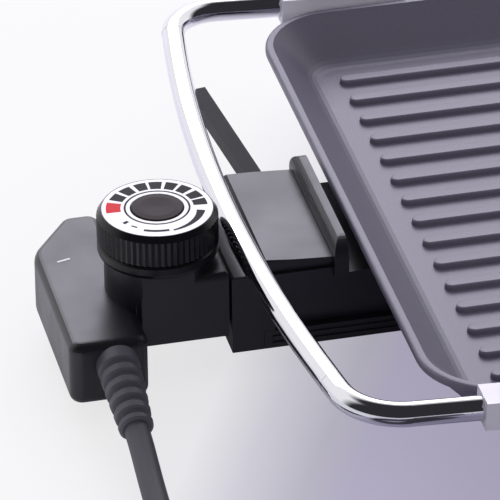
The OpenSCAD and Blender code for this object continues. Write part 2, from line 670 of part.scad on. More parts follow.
nose_back = barrel_right - shell_t - 4;
nose_run = nose_tip - nose_back;
module plug_nose() color([0.1, 0.1, 0.1]) from_rim() difference() {
    union() {
        translate([nose_back + 4, -nose_w / 2, nose_z - nose_h / 2])
            cube([nose_tip - nose_back - 4, nose_w, nose_h]);
        translate([nose_back, -nose_w / 2 - 2, nose_z - nose_h / 2 + 2.6])
            cube([4, nose_w + 4, nose_h - 2]);
    }
    for (s = [-1, 1]) translate([nose_back + 3, s * pin_gap / 2, nose_z]) rotate([0, 90, 0])
        cylinder(d = pin_d + 3, h = nose_run);
    translate([nose_back - 1, 0, nose_z]) rotate([0, 90, 0])
        cylinder(d = probe_d + fit, h = nose_run + 2);
}

module probe_tube() color([0.72, 0.7, 0.66]) from_rim() translate([nose_back, 0, nose_z]) rotate([0, 90, 0]) {
    cylinder(d = probe_d, h = nose_run + probe_len - 2);
    translate([0, 0, nose_run + probe_len - 2]) cylinder(d1 = probe_d, d2 = probe_d - 2, h = 2);
}

module socket_contacts() color([0.8, 0.65, 0.3]) from_rim()
    for (s = [-1, 1]) translate([nose_back + 3 + fit, s * pin_gap / 2, nose_z]) rotate([0, 90, 0])
        difference() {
            cylinder(d = pin_d + 3 - 2 * fit, h = nose_run - 5);
            translate([0, 0, 1]) cylinder(d = pin_d + 2 * fit, h = nose_run);
        }

stack_x = nose_back - 7;
blade_y = dial_cy - 5;
module ceramic_stack() color([0.88, 0.86, 0.8]) from_rim() difference() {
    translate([stack_x, blade_y - 2, barrel_z + shell_t + fit])
        cube([7, 14, room_top - barrel_z - shell_t - 2 * fit]);
    blades(stack_x - 1, fit);
    blade_bimetal(stack_x - 1, fit);
}
bimetal_z = room_top - 2.2;
upper_blade_z = bimetal_z - 2.8;
lower_blade_z = upper_blade_z - 3;
module blade_bimetal(x, c) translate([x, blade_y - c, bimetal_z - c])
    cube([stack_x + 5 + c - x, 10 + 2 * c, 0.8 + 2 * c]);
module blades(x, c) for (z = [upper_blade_z, lower_blade_z]) translate([x, blade_y + 1 - c, z - c])
    cube([stack_x + 5 + c - x, 8 + 2 * c, 0.6 + 2 * c]);
module bimetal_blade() color([0.8, 0.6, 0.35]) from_rim() blade_bimetal(dial_cx - 6, 0);
module contact_blades() color([0.8, 0.7, 0.4]) from_rim() {
    blades(dial_cx - 4, 0);
    translate([dial_cx, dial_cy, lower_blade_z + 0.6]) cylinder(d = 4, h = 1);
    translate([dial_cx, dial_cy, upper_blade_z - 1.3]) cylinder(d = 4, h = 1.3);
}

// The tick on the head that the dial is read against
index_len = 5;
index_w = 0.9;
module index_place(c) translate([head_left + 9.5, 9, head_top - 0.5]) rotate([0, 0, 15])
    translate([-(index_len + c) / 2, -(index_w + c) / 2, 0]) cube([index_len + c, index_w + c, 1]);
module index_mark() color([0.9, 0.9, 0.92]) from_rim() intersection() {
    index_place(0);
    translate([head_left, -house_y, 0]) cube([head_w, house_w, head_top + 0.1]);
}

// Boot and cord
boot_x = head_left + 16.4;
boot_z = head_top - 8.9;
boot_drop = 13.8;
boot_len = 31.4;
boot_neck_d = boot_d - 5;
flange_t = 1.2;
module at_boot() translate([boot_x, head_front, boot_z]) rotate([90 + boot_drop, 0, 0]) children();
// The boot's neck and inner flange, or with a clearance c the recess for them
module boot_root(c) translate([boot_x, head_front + 6 + c / 2, boot_z]) rotate([90, 0, 0]) {
    cylinder(d = boot_neck_d + c, h = c > 0 ? 12 : 6);
    cylinder(d = boot_neck_d + 3 + c, h = flange_t + c);
}
ring_pitch = boot_len / (boot_rings + 0.5);
function boot_r(t) = (boot_d + (boot_tip_d - boot_d) * t / boot_len) / 2;
function boot_profile() = concat([[0, -4], [boot_r(0), -4]],
    [for (i = [1:boot_rings]) let (t = i * ring_pitch - boot_groove_w, w = boot_groove_w) each
        [[boot_r(t), t - 0.6], [boot_r(t) - 0.4, t], [boot_r(t) - 0.8 * boot_groove, t + 0.25 * w],
         [boot_r(t) - boot_groove, t + 0.5 * w], [boot_r(t) - 0.8 * boot_groove, t + 0.75 * w],
         [boot_r(t + w) - 0.4, t + w], [boot_r(t + w), t + w + 0.6]]],
    [[boot_r(boot_len), boot_len - 0.8], [boot_tip_d / 2 - 0.8, boot_len], [0, boot_len]]);
module cord_boot() color([0.09, 0.09, 0.1]) from_rim() {
    difference() {
        at_boot() rotate_extrude() polygon(boot_profile());
        translate([head_left, head_front, 0]) cube([2 * head_w, 20, dial_top]);
    }
    boot_root(0);
}

module cord_clamp() color([0.5, 0.5, 0.52]) from_rim() difference() {
    translate([boot_x - 8, head_front + 8, head_z + shell_t + fit])
        cube([16, 7, room_top - head_z - shell_t - 2 * fit]);
    translate([boot_x, head_front + 16, boot_z]) rotate([90, 0, 0]) cylinder(d = cord_d, h = 10);
}

module dial_grip() color([0.05, 0.05, 0.05]) from_rim() translate([dial_cx, dial_cy, 0]) difference() {
    union() {
        translate([0, 0, grip_z]) linear_extrude(grip_h - 2.2) polygon([for (i = [0:2 * flute_count - 1])
            (dial_d / 2 - (i % 2) * flute_depth) * [cos(180 * i / flute_count), sin(180 * i / flute_count)]]);
        translate([0, 0, grip_z]) cylinder(d = dial_d - 2 * flute_depth - 0.4, h = grip_h - 2);
        translate([0, 0, dial_top - 2.2]) cylinder(d1 = dial_d - 0.2, d2 = scale_d + 0.6, h = 2.2);
    }
    translate([0, 0, dial_top - 1.2]) cylinder(d = scale_d + 2 * fit, h = 2);
    translate([0, 0, grip_z - 1]) cylinder(d = spindle_d + fit, h = grip_h - 3);
}
module dial_scale() color([0.93, 0.93, 0.93]) from_rim() translate([dial_cx, dial_cy, dial_top - 1.2]) difference() {
    cylinder(d = scale_d, h = 1.2);
    translate([0, 0, 0.3]) cylinder(d = centre_d + 2 * fit, h = 2);
}
module dial_centre() color([0.13, 0.1, 0.09]) from_rim() translate([dial_cx, dial_cy, dial_top - 0.9])
    rotate_extrude() polygon([[0, 0], [centre_d / 2, 0], [centre_d / 2, 0.9], [centre_d / 2 - 0.5, 1.3],
        [centre_d / 2 - 3, 1.4], [0, 1.2]]);
module dial_skirt() color([0.06, 0.06, 0.07]) from_rim() translate([dial_cx, dial_cy, skirt_z]) difference() {
    union() {
        rotate_extrude() polygon([[0, 0], [dial_d / 2 - 1.4, 0], [dial_d / 2 - 0.4, 0.8],
            [dial_d / 2, 2], [dial_d / 2, skirt_h - 0.6], [dial_d / 2 - 0.6, skirt_h], [0, skirt_h]]);
        cylinder(d = dial_d - 3, h = skirt_h + dial_groove);
    }
    translate([0, 0, -1]) cylinder(d = spindle_d + fit, h = skirt_h + 3);
}
module dial_spindle() color([0.7, 0.7, 0.7]) from_rim() translate([dial_cx, dial_cy, 0]) {
    translate([0, 0, bimetal_z + 0.8 + run_gap]) cylinder(d1 = 2, d2 = 3, h = 1.5);
    translate([0, 0, bimetal_z + 2.3 + run_gap]) cylinder(d = spindle_d - 1, h = parting_z + 4 - bimetal_z);
    translate([0, 0, parting_z + 6]) cylinder(d = spindle_d, h = dial_top - 4.2 - parting_z - 6);
}

// Route of the cord's free run, from the boot's tip to the coil, in the part's own frame
cord_start = [boot_x + rim_x, head_front - boot_len * cos(boot_drop), boot_z - boot_len * sin(boot_drop)];
cord_route = [
    [-260, -79.5, 16.6], [-260, -88, 14.4], [-260.2, -97, 12.1], [-260.4, -106, 10],
    [-260.5, -115, 8.1], [-260.5, -124, 6.5], [-260.5, -133, 5.4], [-260.5, -142, 4.7],
    [-260.5, -151, 4.4], [-260.5, -160, 4.4], [-260.5, -170, 4.4], [-260.5, -180, 4.4],
    [-260.5, -190, 4.4], [-260.5, -200, 4.4], [-260.5, -210, 4.4]];
// Unit vectors along and across a route at its point i
function unit(v) = v / norm(v);
function heading(r, i) = unit(r[min(i + 1, len(r) - 1)] - r[max(i - 1, 0)]);
function ring(c, t, d, n) = let (side = unit(cross(t, [0, 0, 1])), lift = cross(side, t))
    [for (k = [0:n - 1]) c + d / 2 * (cos(360 * (k + 0.5) / n) * side + sin(360 * (k + 0.5) / n) * lift)];
// A tube through the points of a route, as one closed surface
module swept_tube(route, d, n) {
    m = len(route);
    points = [for (i = [0:m - 1]) each ring(route[i], heading(route, i), d, n)];
    walls = [for (i = [0:m - 2], k = [0:n - 1]) each let (a = i * n + k, b = i * n + (k + 1) % n)
        [[a, a + n, b], [b, a + n, b + n]]];
    ends = [for (k = [1:n - 2]) each [[0, k, k + 1], [(m - 1) * n, (m - 1) * n + k + 1, (m - 1) * n + k]]];
    polyhedron(points, concat(walls, ends));
}
module supply_cord() color([0.1, 0.1, 0.1]) swept_tube(cord_route, cord_d, 10);

// The put-away length: two layers of turns, wound in and then out on top
coil_turns = 4.25;
coil_r = 57.5;
coil_step = 9.4;
coil_centre = [cord_route[len(cord_route) - 1][0] + coil_r, -218.8];
coil_mid = coil_turns / 2;
coil_lift = plug_d / 2 - cord_d / 2 - coil_step;
function ease(t) = t <= 0 ? 0 : t >= 1 ? 1 : t * t * (3 - 2 * t);
coil_swing = 8;
function coil_point(t) = let (a = 180 + 360 * t, r = coil_r - coil_step * (coil_mid - abs(t - coil_mid))
    + coil_swing * ease((t - coil_turns) * 4 + 1))
    [coil_centre[0] + r * cos(a), coil_centre[1] + r * sin(a),
     cord_d / 2 + coil_step * ease((t - coil_mid) * 2 + 0.5) + coil_lift * ease((t - coil_turns) * 3 + 1)];
coil_points = [for (i = [0:24 * coil_turns]) coil_point(i / 24)];
coil_end = coil_point(coil_turns);
coil_route = concat([cord_route[len(cord_route) - 1]], coil_points, [coil_end + [cord_d, 0, 0]]);
// Least gap between turns, measured over the points that lie more than half a turn apart
coil_gap = min([for (i = [0:len(coil_points) - 1], j = [i + 13:len(coil_points) - 1])
    norm(coil_points[i] - coil_points[j])]) - cord_d;
echo(coil_gap = coil_gap);
module cord_coil() color([0.1, 0.1, 0.1]) swept_tube(coil_route, cord_d, 6);

// The plug lies beside the coil, on its own rim
plug_sleeve = 24;
module at_plug() translate(coil_end + [cord_d, 0, 0]) rotate([0, 90, 0]) children();
module plug_body() color([0.08, 0.08, 0.08]) at_plug() rotate_extrude() polygon(concat(
    [[0, 0], [cord_d / 2 + 1, 0], [cord_d / 2 + 2.6, plug_sleeve - 4], [plug_d / 2 - 7, plug_sleeve + 5]],
    arc(plug_d / 2 - 5, plug_sleeve + 12, 5, 165, 180, 1),
    [[plug_d / 2 - 2.5, plug_sleeve + 15], [plug_d / 2, plug_sleeve + 20],
     [plug_d / 2, plug_sleeve + plug_len - 2], [plug_d / 2 - 2, plug_sleeve + plug_len],
     [0, plug_sleeve + plug_len]]));
module plug_pins() color([0.8, 0.8, 0.78]) at_plug() for (s = [-1, 1])
    translate([0, s * plug_pin_gap / 2, plug_sleeve + plug_len]) {
        cylinder(d = plug_pin_d, h = plug_pin_len - 2);
        translate([0, 0, plug_pin_len - 2]) cylinder(d1 = plug_pin_d, d2 = plug_pin_d - 2, h = 2);
    }

grill_plate();
heating_element();
element_clips();
terminal_pins();
terminal_insulator();
socket_housing();
housing_cover();
socket_collar();
handle_bar_left();
handle_bar_right();
handle_yoke();
bracket_left_near();
bracket_left_far();
bracket_right_near();
bracket_right_far();
rubber_feet();
bracket_screws();
cover_screws();
thermostat_upper_shell();
thermostat_lower_shell();
plug_nose();
probe_tube();
socket_contacts();
ceramic_stack();
bimetal_blade();
contact_blades();
index_mark();
cord_clamp();
shell_screws();
dial_grip();
dial_scale();
dial_centre();
dial_skirt();
dial_spindle();
cord_boot();
supply_cord();
cord_coil();
plug_body();
plug_pins();
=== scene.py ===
# Electric table grill: looks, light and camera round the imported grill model.
import math

import bmesh
import bpy
from mathutils import Matrix, Vector


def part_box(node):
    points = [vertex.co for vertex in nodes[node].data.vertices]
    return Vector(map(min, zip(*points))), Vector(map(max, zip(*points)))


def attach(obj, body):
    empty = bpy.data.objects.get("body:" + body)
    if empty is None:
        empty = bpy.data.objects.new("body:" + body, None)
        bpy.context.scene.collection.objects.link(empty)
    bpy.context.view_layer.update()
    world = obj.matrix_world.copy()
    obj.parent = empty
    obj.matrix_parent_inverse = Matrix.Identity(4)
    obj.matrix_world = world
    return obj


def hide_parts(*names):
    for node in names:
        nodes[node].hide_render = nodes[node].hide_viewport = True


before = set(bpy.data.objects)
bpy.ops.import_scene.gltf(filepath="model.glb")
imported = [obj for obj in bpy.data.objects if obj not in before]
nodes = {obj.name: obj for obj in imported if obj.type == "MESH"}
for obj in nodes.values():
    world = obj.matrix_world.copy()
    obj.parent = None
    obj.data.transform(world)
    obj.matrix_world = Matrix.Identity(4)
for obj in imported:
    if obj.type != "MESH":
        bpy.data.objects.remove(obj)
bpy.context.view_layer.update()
print("grill model loaded:", len(nodes), "nodes")

# Where the dial is, in metres: read from the grill model itself
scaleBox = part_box("dial_scale")
dialMiddle = Vector(((scaleBox[0][0] + scaleBox[1][0]) / 2, (scaleBox[0][1] + scaleBox[1][1]) / 2, scaleBox[1][2]))


def pieceFromBmesh(name, bm, material, body, smoothAngle=35):
    # a bmesh becomes a finished piece that rides on a body
    bmesh.ops.remove_doubles(bm, verts=bm.verts, dist=1e-6)
    bmesh.ops.recalc_face_normals(bm, faces=bm.faces)
    mesh = bpy.data.meshes.new(name)
    bm.to_mesh(mesh)
    bm.free()
    piece = bpy.data.objects.new(name, mesh)
    bpy.context.collection.objects.link(piece)
    mesh.materials.append(material)
    mesh.shade_smooth()
    mesh.set_sharp_from_angle(angle=math.radians(smoothAngle))
    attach(piece, body)
    return piece


# shader groups

def newGroup(name, inputs, outputs):
    group = bpy.data.node_groups.new(name, "ShaderNodeTree")
    for label, kind, value in inputs:
        socket = group.interface.new_socket(name=label, in_out="INPUT", socket_type=kind)
        if value is not None:
            socket.default_value = value
    for label, kind in outputs:
        group.interface.new_socket(name=label, in_out="OUTPUT", socket_type=kind)
    start = group.nodes.new("NodeGroupInput")
    end = group.nodes.new("NodeGroupOutput")
    return group, start, end


def mouldedGrainGroup():
    # Fine spark-eroded grain of a moulding: a height, and a mask of slow cloudy variation
    group, start, end = newGroup(
        "mouldedGrain",
        [("Grain Scale", "NodeSocketFloat", 2500.0), ("Cloud Scale", "NodeSocketFloat", 40.0)],
        [("Height", "NodeSocketFloat"), ("Clouds", "NodeSocketFloat")])
    coords = group.nodes.new("ShaderNodeTexCoord")
    grain = group.nodes.new("ShaderNodeTexNoise")
    clouds = group.nodes.new("ShaderNodeTexNoise")
    grain.inputs["Detail"].default_value = 3.0
    clouds.inputs["Detail"].default_value = 4.0
    clouds.inputs["Roughness"].default_value = 0.6
    link = group.links.new
    link(coords.outputs["Object"], grain.inputs["Vector"])
    link(coords.outputs["Object"], clouds.inputs["Vector"])
    link(start.outputs["Grain Scale"], grain.inputs["Scale"])
    link(start.outputs["Cloud Scale"], clouds.inputs["Scale"])
    link(grain.outputs["Fac"], end.inputs["Height"])
    link(clouds.outputs["Fac"], end.inputs["Clouds"])
    return group


def fleckGroup():
    # Mineral flecks of a sprayed coating, light on dark, with a coarser stipple in the height
    group, start, end = newGroup(
        "coatingFlecks",
        [("Fleck Scale", "NodeSocketFloat", 900.0), ("Fleck Amount", "NodeSocketFloat", 0.2),
         ("Ground", "NodeSocketColor", (0.05, 0.05, 0.055, 1)), ("Fleck", "NodeSocketColor", (0.2, 0.2, 0.2, 1))],
        [("Color", "NodeSocketColor"), ("Height", "NodeSocketFloat")])
    coords = group.nodes.new("ShaderNodeTexCoord")
    cells = group.nodes.new("ShaderNodeTexVoronoi")
    ramp = group.nodes.new("ShaderNodeMapRange")
    strength = group.nodes.new("ShaderNodeMath")
    strength.operation = "MULTIPLY"
    mix = group.nodes.new("ShaderNodeMix")
    mix.data_type = "RGBA"
    stipple = group.nodes.new("ShaderNodeTexNoise")
    stipple.inputs["Scale"].default_value = 1400.0
    stipple.inputs["Detail"].default_value = 2.0
    ramp.inputs["From Min"].default_value = 0.28
    ramp.inputs["From Max"].default_value = 0.1
    link = group.links.new
    link(coords.outputs["Object"], cells.inputs["Vector"])
    link(coords.outputs["Object"], stipple.inputs["Vector"])
    link(start.outputs["Fleck Scale"], cells.inputs["Scale"])
    link(cells.outputs["Distance"], ramp.inputs["Value"])
    link(ramp.outputs["Result"], strength.inputs[0])
    link(start.outputs["Fleck Amount"], strength.inputs[1])
    link(strength.outputs[0], mix.inputs["Factor"])
    link(start.outputs["Ground"], mix.inputs["A"])
    link(start.outputs["Fleck"], mix.inputs["B"])
    link(mix.outputs["Result"], end.inputs["Color"])
    link(stipple.outputs["Fac"], end.inputs["Height"])
    return group


grainGroup = mouldedGrainGroup()
fleckMix = fleckGroup()


def newMaterial(name):
    material = bpy.data.materials.new(name)
    material.use_nodes = True
    shader = material.node_tree.nodes["Principled BSDF"]
    return material, material.node_tree, shader


def grainedMaterial(name, look):
    # a moulded, plated or painted finish: grain in its normal, clouds in its gloss and colour
    material, tree, shader = newMaterial(name)
    grain = tree.nodes.new("ShaderNodeGroup")
    grain.node_tree = grainGroup
    grain.inputs["Grain Scale"].default_value = look.get("grainScale", 2500.0)
    grain.inputs["Cloud Scale"].default_value = look.get("cloudScale", 40.0)
    bump = tree.nodes.new("ShaderNodeBump")
    bump.inputs["Strength"].default_value = look.get("bump", 0.1)
    bump.inputs["Distance"].default_value = look.get("bumpDepth", 0.0001)
    gloss = tree.nodes.new("ShaderNodeMapRange")
    gloss.inputs["From Min"].default_value = 0.3
    gloss.inputs["From Max"].default_value = 0.7
    gloss.inputs["To Min"].default_value = look["rough"][0]
    gloss.inputs["To Max"].default_value = look["rough"][1]
    tint = tree.nodes.new("ShaderNodeMix")
    tint.data_type = "RGBA"
    tint.inputs["A"].default_value = (*look["color"], 1)
    tint.inputs["B"].default_value = (*look.get("colorTo", [c * 1.15 for c in look["color"]]), 1)
    link = tree.links.new
    link(grain.outputs["Height"], bump.inputs["Height"])
    link(bump.outputs["Normal"], shader.inputs["Normal"])
    link(grain.outputs["Clouds"], gloss.inputs["Value"])
    link(gloss.outputs["Result"], shader.inputs["Roughness"])
    link(grain.outputs["Clouds"], tint.inputs["Factor"])
    link(tint.outputs["Result"], shader.inputs["Base Color"])
    shader.inputs["Metallic"].default_value = look.get("metallic", 0.0)
    shader.inputs["IOR"].default_value = look.get("ior", 1.5)
    shader.inputs["Coat Weight"].default_value = look.get("coat", 0.0)
    shader.inputs["Coat Roughness"].default_value = look.get("coatRough", 0.1)
    return material


looks = {
    "blackMoulding": {"color": (0.008, 0.0075, 0.011), "rough": (0.3, 0.4), "bump": 0.1, "ior": 1.52},
    "armMoulding": {"color": (0.007, 0.0065, 0.009), "rough": (0.28, 0.36), "bump": 0.1, "ior": 1.22},
    "dialMoulding": {"color": (0.005, 0.0045, 0.006), "rough": (0.22, 0.32), "bump": 0.1, "ior": 1.36},
    "bootRubber": {"color": (0.065, 0.063, 0.078), "rough": (0.4, 0.5), "bump": 0.25, "grainScale": 1800.0},
    "cordRubber": {"color": (0.055, 0.053, 0.065), "rough": (0.42, 0.54), "bump": 0.2, "grainScale": 2200.0},
    "footRubber": {"color": (0.02, 0.02, 0.02), "rough": (0.7, 0.85), "bump": 0.4, "grainScale": 1500.0},
    "chromePlate": {"color": (0.72, 0.72, 0.76), "rough": (0.03, 0.07), "metallic": 1.0, "bump": 0.01,
                    "cloudScale": 25.0},
    "bracketGrey": {"color": (0.66, 0.64, 0.7), "rough": (0.38, 0.5), "bump": 0.3, "grainScale": 1200.0,
                    "metallic": 0.2},
    "pinSteel": {"color": (0.7, 0.7, 0.68), "rough": (0.16, 0.28), "metallic": 1.0, "bump": 0.05},
    "sheetSteel": {"color": (0.55, 0.55, 0.56), "rough": (0.3, 0.45), "metallic": 1.0, "bump": 0.1},
    "elementSheath": {"color": (0.17, 0.15, 0.14), "colorTo": (0.26, 0.21, 0.17), "rough": (0.45, 0.65),
                      "metallic": 0.8, "bump": 0.3, "cloudScale": 60.0},
    "contactBrass": {"color": (0.72, 0.5, 0.2), "rough": (0.25, 0.4), "metallic": 1.0, "bump": 0.05},
    "steatite": {"color": (0.78, 0.75, 0.68), "rough": (0.6, 0.75), "bump": 0.3},
    "scaleWhite": {"color": (0.86, 0.86, 0.87), "rough": (0.3, 0.4), "bump": 0.04, "coat": 0.3},
    "markWhite": {"color": (0.82, 0.82, 0.84), "rough": (0.4, 0.5), "bump": 0.1},
    "printBlack": {"color": (0.008, 0.008, 0.008), "rough": (0.35, 0.45), "bump": 0.05, "ior": 1.16},
    "printRed": {"color": (0.7, 0.01, 0.02), "rough": (0.35, 0.45), "bump": 0.05, "ior": 1.2},
    "capBrown": {"color": (0.016, 0.009, 0.008), "rough": (0.2, 0.26), "bump": 0.03, "ior": 1.14},
}
finish = {name: grainedMaterial(name, look) for name, look in looks.items()}


def panCoating():
    look = {"ground": (0.124, 0.112, 0.156), "fleck": (0.22, 0.2, 0.26), "fleckAmount": 0.35, "fleckScale": 1100.0,
            "rough": 0.4, "coat": 0.08, "coatRough": 0.3, "bump": 0.22}
    material, tree, shader = newMaterial("panCoating")
    flecks = tree.nodes.new("ShaderNodeGroup")
    flecks.node_tree = fleckMix
    flecks.inputs["Fleck Scale"].default_value = look["fleckScale"]
    flecks.inputs["Fleck Amount"].default_value = look["fleckAmount"]
    flecks.inputs["Ground"].default_value = (*look["ground"], 1)
    flecks.inputs["Fleck"].default_value = (*look["fleck"], 1)
    bump = tree.nodes.new("ShaderNodeBump")
    bump.inputs["Strength"].default_value = look["bump"]
    bump.inputs["Distance"].default_value = 0.0001
    tree.links.new(flecks.outputs["Color"], shader.inputs["Base Color"])
    tree.links.new(flecks.outputs["Height"], bump.inputs["Height"])
    tree.links.new(bump.outputs["Normal"], shader.inputs["Normal"])
    shader.inputs["Roughness"].default_value = look["rough"]
    shader.inputs["Coat Weight"].default_value = look["coat"]
    shader.inputs["Coat Roughness"].default_value = look["coatRough"]
    return material


finish["panCoating"] = panCoating()
print("finishes made:", len(finish))

# the grill's own nodes take their finishes
nodeFinish = {
    "grill_plate": "panCoating", "heating_element": "elementSheath", "element_clips": "sheetSteel",
    "terminal_pins": "pinSteel", "terminal_insulator": "steatite", "socket_housing": "blackMoulding",
    "housing_cover": "blackMoulding", "socket_collar": "blackMoulding", "handle_bar_left": "chromePlate",
    "handle_bar_right": "chromePlate", "handle_yoke": "armMoulding", "bracket_left_near": "bracketGrey",
    "bracket_left_far": "bracketGrey", "bracket_right_near": "bracketGrey", "bracket_right_far": "bracketGrey",
    "rubber_feet": "footRubber", "bracket_screws": "sheetSteel", "cover_screws": "sheetSteel",
    "thermostat_upper_shell": "blackMoulding", "thermostat_lower_shell": "blackMoulding",
    "plug_nose": "blackMoulding", "probe_tube": "pinSteel", "socket_contacts": "contactBrass",
    "ceramic_stack": "steatite", "bimetal_blade": "contactBrass", "contact_blades": "contactBrass",
    "index_mark": "markWhite", "cord_clamp": "blackMoulding", "shell_screws": "sheetSteel",
    "dial_grip": "dialMoulding", "dial_scale": "scaleWhite", "dial_centre": "capBrown",
    "dial_skirt": "dialMoulding", "dial_spindle": "pinSteel", "cord_boot": "bootRubber",
    "plug_body": "bootRubber", "plug_pins": "pinSteel",
}
for nodeName, finishName in nodeFinish.items():
    mesh = nodes[nodeName].data
    mesh.materials.clear()
    mesh.materials.append(finish[finishName])

# supply cord: the same route as the model's, then the coil and the plug
cordSet = {"diameter": 0.0088, "turns": 4.25, "radius": 0.0575, "step": 0.0094, "swing": 0.008,
           "plugAxis": 0.0185, "centreY": -0.2188, "pointsPerTurn": 24,
           "route": [(-0.26, -0.0795, 0.0166), (-0.26, -0.088, 0.0144), (-0.2602, -0.097, 0.0121),
                     (-0.2604, -0.106, 0.01), (-0.2605, -0.115, 0.0081), (-0.2605, -0.124, 0.0065),
                     (-0.2605, -0.133, 0.0054), (-0.2605, -0.142, 0.0047), (-0.2605, -0.151, 0.0044),
                     (-0.2605, -0.16, 0.0044), (-0.2605, -0.17, 0.0044), (-0.2605, -0.18, 0.0044),
                     (-0.2605, -0.19, 0.0044), (-0.2605, -0.2, 0.0044), (-0.2605, -0.21, 0.0044)]}


def easeBetween(t):
    t = min(max(t, 0.0), 1.0)
    return t * t * (3 - 2 * t)


def coilPoint(t):
    turns, middle = cordSet["turns"], cordSet["turns"] / 2
    centreX = cordSet["route"][-1][0] + cordSet["radius"]
    lift = cordSet["plugAxis"] - cordSet["diameter"] / 2 - cordSet["step"]
    r = (cordSet["radius"] - cordSet["step"] * (middle - abs(t - middle))
         + cordSet["swing"] * easeBetween((t - turns) * 4 + 1))
    a = math.pi + 2 * math.pi * t
    z = (cordSet["diameter"] / 2 + cordSet["step"] * easeBetween((t - middle) * 2 + 0.5)
         + lift * easeBetween((t - turns) * 3 + 1))
    return (centreX + r * math.cos(a), cordSet["centreY"] + r * math.sin(a), z)


def makeCord():
    points = list(cordSet["route"])
    perTurn = cordSet["pointsPerTurn"]
    points += [coilPoint(i / perTurn) for i in range(int(perTurn * cordSet["turns"]) + 1)]
    last = points[-1]
    points.append((last[0] + cordSet["diameter"], last[1], last[2]))
    curve = bpy.data.curves.new("cordSheath", "CURVE")
    curve.dimensions = "3D"
    curve.bevel_depth = cordSet["diameter"] / 2
    curve.bevel_resolution = 6
    curve.use_fill_caps = True
    curve.resolution_u = 3
    spline = curve.splines.new("BEZIER")
    spline.bezier_points.add(len(points) - 1)
    for bezier, point in zip(spline.bezier_points, points):
        bezier.co = point
        bezier.handle_left_type = bezier.handle_right_type = "AUTO"
    curve.materials.append(finish["cordRubber"])
    sheath = bpy.data.objects.new("cordSheath", curve)
    bpy.context.collection.objects.link(sheath)
    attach(sheath, "thermostat")
    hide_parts("supply_cord", "cord_coil")


makeCord()

# dial: the printed scale, in degrees round the dial and radii in millimetres
scalePrint = {
    "blocks": [(141, 16, 12.7, 17.6), (120, 16, 12.7, 17.6), (99, 15, 12.7, 17.6), (80, 16, 12.7, 17.6),
               (60, 15, 12.7, 17.6), (41, 15, 12.7, 17.6), (20, 16, 12.7, 17.6), (1, 15, 12.7, 17.6)],
    "red": [(167, 24, 12.7, 17.8)],
    "dashes": [(-103, 32, 15.2, 16.5), (-150, 5, 13.6, 15.6), (-134, 9, 14.6, 15.3)],
    "wedge": {"from": -20, "to": -82, "outer": 16.8, "thick": (3.0, 0.8)},
    "circle": (10.9, 11.6),
    "thickness": 0.00004, "steps": 8, "ringSteps": 48, "wedgeSectors": 16,
}


def ringSector(bm, span, inner, outer):
    # a flat strip swept round the dial's axis by span degrees; a whole ring closes on itself
    whole = span >= 360
    edge = [bm.verts.new((inner / 1000, 0, 0)), bm.verts.new((outer / 1000, 0, 0))]
    strip = edge + [bm.edges.new(edge)]
    bmesh.ops.spin(bm, geom=strip, cent=(0, 0, 0), axis=(0, 0, 1), angle=math.radians(span),
                   steps=scalePrint["ringSteps"] if whole else scalePrint["steps"],
                   use_duplicate=False, use_merge=whole)


def printPiece(name, sectors, finishName):
    bm = bmesh.new()
    for middle, span, inner, outer in sectors:
        part = bmesh.new()
        ringSector(part, span, inner, outer)
        bmesh.ops.rotate(part, verts=part.verts, cent=(0, 0, 0),
                         matrix=Matrix.Rotation(math.radians(middle - span / 2), 3, "Z"))
        scrap = bpy.data.meshes.new("scrap")
        part.to_mesh(scrap)
        part.free()
        bm.from_mesh(scrap)
        bpy.data.meshes.remove(scrap)
    bmesh.ops.solidify(bm, geom=list(bm.faces), thickness=scalePrint["thickness"])
    bmesh.ops.translate(bm, verts=bm.verts, vec=dialMiddle + Vector((0, 0, scalePrint["thickness"])))
    piece = pieceFromBmesh(name, bm, finish[finishName], "dial")


def makeScalePrint():
    wedge, count = scalePrint["wedge"], scalePrint["wedgeSectors"]
    wedgeSectors = []
    for i in range(count):
        t = (i + 0.5) / count
        a = wedge["from"] + (wedge["to"] - wedge["from"]) * t
        thick = wedge["thick"][0] + (wedge["thick"][1] - wedge["thick"][0]) * t
        wedgeSectors.append((a, abs(wedge["to"] - wedge["from"]) / count, wedge["outer"] - thick, wedge["outer"]))
    printPiece("scaleBlocks", scalePrint["blocks"], "printBlack")
    printPiece("scaleWedge", wedgeSectors + scalePrint["dashes"], "printBlack")
    printPiece("scaleRed", scalePrint["red"], "printRed")
    printPiece("scaleCircle", [(0, 360, *scalePrint["circle"])], "printBlack")
    print("dial scale printed")


makeScalePrint()

# floor, light and camera
# the lavender colour stops, their ramp and the ellipse round the pan paint the pan's soft shadow into the floor
# colour
stageSet = {"size": 8.0, "sink": 0.0002, "rough": 0.7, "glow": 0.77,
            "paintedShadowAlong": (1.0, -0.5, 0.0), "paintedShadowFrom": -0.24, "paintedShadowTo": -0.09,
            "paintedShadowPool": (0.44, 0.31), "paintedShadowPoolFade": (0.75, 2.4),
            "floorAndShadowTones": [(0.0, (0.97, 0.97, 0.975)), (0.24, (0.93, 0.92, 0.945)), (0.4, (0.7, 0.69, 0.76)),
                      (0.57, (0.53, 0.51, 0.6)), (0.68, (0.49, 0.46, 0.6)), (1.0, (0.47, 0.435, 0.575))]}


